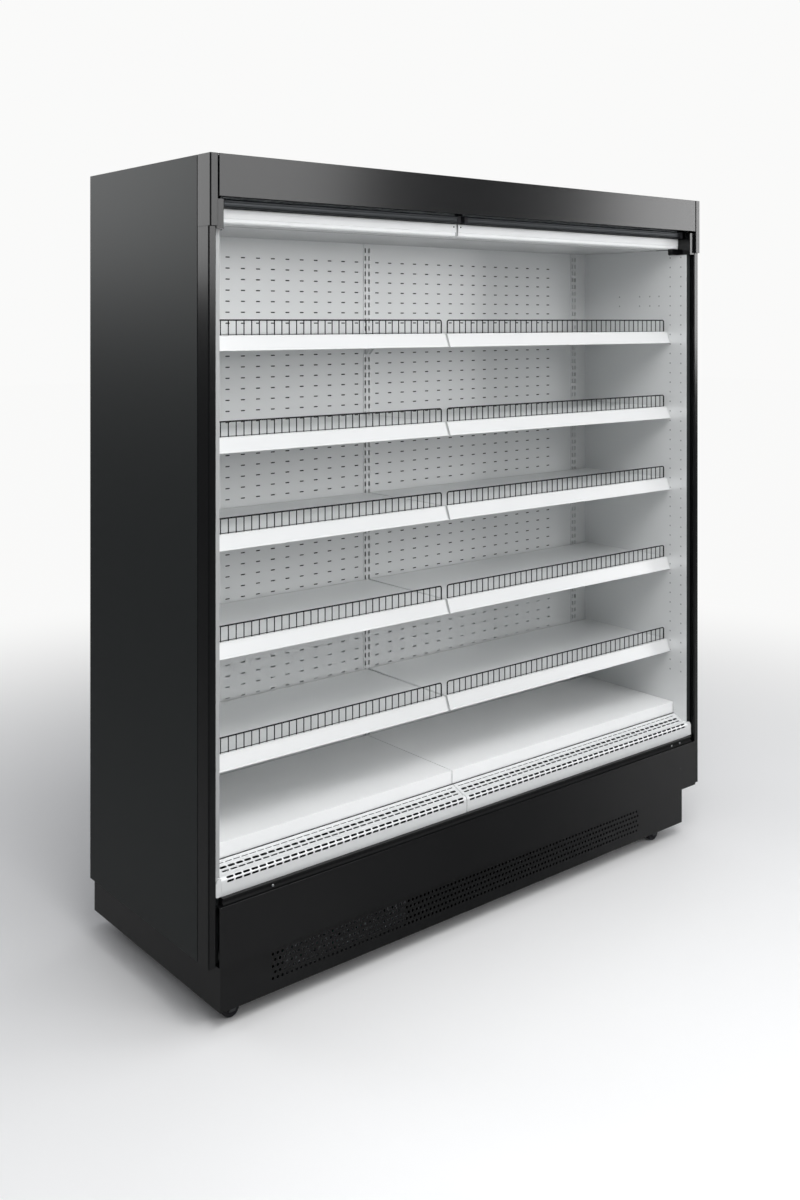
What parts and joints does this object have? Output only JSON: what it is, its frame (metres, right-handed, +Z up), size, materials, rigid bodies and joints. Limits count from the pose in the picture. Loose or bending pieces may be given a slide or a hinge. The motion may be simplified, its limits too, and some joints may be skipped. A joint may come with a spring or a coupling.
{
  "type": "open multideck display fridge",
  "caption": "Tall open-front chilled display cabinet with black ends and canopy, white shelves with wire risers, an air return grille, night blinds and castors.",
  "frame": {"origin": "centre of the footprint, on the floor", "axes": "+X along the width to the right as seen from the front, +Y from the open front to the back, +Z up"},
  "size_m": [1.955, 0.745, 2.2],
  "materials": {
    "black_steel": "satin",
    "black_plastic": "matte",
    "white_steel": "satin",
    "tub_plastic": "satin",
    "light_plastic": "satin",
    "dark_aluminium": "satin",
    "blind_fabric": "woven, silvery",
    "zinc_steel": "satin",
    "fin_aluminium": "satin",
    "compressor_paint": "gloss",
    "castor_rubber": "matte",
    "black_wire": "satin"
  },
  "bodies": {
    "cabinet": {"base_frame": "black_steel", "kick_plate": "black_steel", "lower_fascia": "black_steel", "bumper_channel": "black_plastic", "insulated_tub": "tub_plastic", "return_air_rail": "white_steel", "rear_duct_rail": "white_steel", "return_grille_left": "white_steel", "return_grille_right": "white_steel", "rear_wall": "black_steel", "roof_panel": "black_steel", "end_panel_left": "black_steel", "end_panel_right": "black_steel", "end_trim_left": "black_steel", "end_trim_right": "black_steel", "side_liner_left": "white_steel", "side_liner_right": "white_steel", "canopy_cap_left": "black_plastic", "canopy_cap_right": "black_plastic", "canopy_fascia": "black_steel", "upright_left": "white_steel", "upright_middle": "white_steel", "upright_right": "white_steel", "back_panel_left": "white_steel", "back_panel_right": "white_steel", "air_outlet": "light_plastic", "ceiling_panel": "white_steel", "light_strip_left": "light_plastic", "light_strip_right": "light_plastic", "blind_fabric_left": "blind_fabric", "blind_fabric_right": "blind_fabric", "fan_plate": "zinc_steel", "evaporator_coil": "fin_aluminium", "condenser": "fin_aluminium", "compressor": "compressor_paint", "shelf_left_1": "white_steel", "shelf_left_2": "white_steel", "shelf_left_3": "white_steel", "shelf_left_4": "white_steel", "shelf_left_5": "white_steel", "shelf_right_1": "white_steel", "shelf_right_2": "white_steel", "shelf_right_3": "white_steel", "shelf_right_4": "white_steel", "shelf_right_5": "white_steel"},
    "castor_left": {"castor_fork_front_left": "zinc_steel"},
    "front_wheel_left": {"castor_wheel_front_left": "castor_rubber"},
    "rear_wheel_left": {"castor_wheel_rear_left": "castor_rubber"},
    "castor_right": {"castor_fork_front_right": "zinc_steel"},
    "front_wheel_right": {"castor_wheel_front_right": "castor_rubber"},
    "rear_wheel_right": {"castor_wheel_rear_right": "castor_rubber"},
    "blind_left": {"blind_bar_left": "dark_aluminium"},
    "roller_left": {"blind_roller_left": "dark_aluminium"},
    "blind_right": {"blind_bar_right": "dark_aluminium"},
    "roller_right": {"blind_roller_right": "dark_aluminium"},
    "deck_left": {"deck_pan_left": "white_steel"},
    "deck_right": {"deck_pan_right": "white_steel"},
    "evaporator_blades_left": {"evaporator_fan_left": "black_plastic"},
    "evaporator_blades_right": {"evaporator_fan_right": "black_plastic"},
    "condenser_blades": {"condenser_fan": "black_plastic"}
  },
  "joints": [
    {"name": "castor_swivel_left", "type": "hinge", "parent": "cabinet", "child": "castor_left", "pos_m": [-0.846, -0.283, 0.06], "axis": [0, 0, 1], "continuous": true},
    {"name": "front_wheel_spin_left", "type": "hinge", "parent": "castor_left", "child": "front_wheel_left", "pos_m": [-0.868, -0.283, 0.025], "axis": [0, 1, 0], "continuous": true},
    {"name": "rear_wheel_spin_left", "type": "hinge", "parent": "cabinet", "child": "rear_wheel_left", "pos_m": [-0.846, 0.2875, 0.025], "axis": [0, 1, 0], "continuous": true},
    {"name": "castor_swivel_right", "type": "hinge", "parent": "cabinet", "child": "castor_right", "pos_m": [0.846, -0.283, 0.06], "axis": [0, 0, 1], "continuous": true},
    {"name": "front_wheel_spin_right", "type": "hinge", "parent": "castor_right", "child": "front_wheel_right", "pos_m": [0.824, -0.283, 0.025], "axis": [0, 1, 0], "continuous": true},
    {"name": "rear_wheel_spin_right", "type": "hinge", "parent": "cabinet", "child": "rear_wheel_right", "pos_m": [0.846, 0.2875, 0.025], "axis": [0, 1, 0], "continuous": true},
    {"name": "blind_pull_left", "type": "slide", "parent": "cabinet", "child": "blind_left", "axis": [0, 0, -1], "range_m": [0, 1.65], "stiffness_N_per_m": 4, "springref_m": -1.2, "deforming": ["blind_fabric_left"]},
    {"name": "roller_turn_left", "type": "hinge", "parent": "cabinet", "child": "roller_left", "pos_m": [-0.52, -0.3385, 2.122], "axis": [-1, 0, 0], "range_deg": [0, 4547]},
    {"name": "blind_pull_right", "type": "slide", "parent": "cabinet", "child": "blind_right", "axis": [0, 0, -1], "range_m": [0, 1.65], "stiffness_N_per_m": 4, "springref_m": -1.2, "deforming": ["blind_fabric_right"]},
    {"name": "roller_turn_right", "type": "hinge", "parent": "cabinet", "child": "roller_right", "pos_m": [0.42, -0.3385, 2.122], "axis": [-1, 0, 0], "range_deg": [0, 4547]},
    {"name": "deck_tilt_left", "type": "hinge", "parent": "cabinet", "child": "deck_left", "pos_m": [-0.52, 0.1155, 0.454], "axis": [-1, 0, 0], "range_deg": [0, 20]},
    {"name": "deck_tilt_right", "type": "hinge", "parent": "cabinet", "child": "deck_right", "pos_m": [0.42, 0.1155, 0.454], "axis": [-1, 0, 0], "range_deg": [0, 20]},
    {"name": "evaporator_fan_spin_left", "type": "hinge", "parent": "cabinet", "child": "evaporator_blades_left", "pos_m": [-0.52025, -0.0725, 0.371], "axis": [0, -1, 0], "continuous": true},
    {"name": "evaporator_fan_spin_right", "type": "hinge", "parent": "cabinet", "child": "evaporator_blades_right", "pos_m": [0.41575, -0.0725, 0.371], "axis": [0, -1, 0], "continuous": true},
    {"name": "condenser_fan_spin", "type": "hinge", "parent": "cabinet", "child": "condenser_blades", "pos_m": [-0.51, -0.249, 0.155], "axis": [0, -1, 0], "continuous": true}
  ],
  "couplings": [
    {"joint": "roller_turn_left", "follows": "blind_pull_left", "rad_per_m": 48.077},
    {"joint": "roller_turn_right", "follows": "blind_pull_right", "rad_per_m": 48.077}
  ]
}
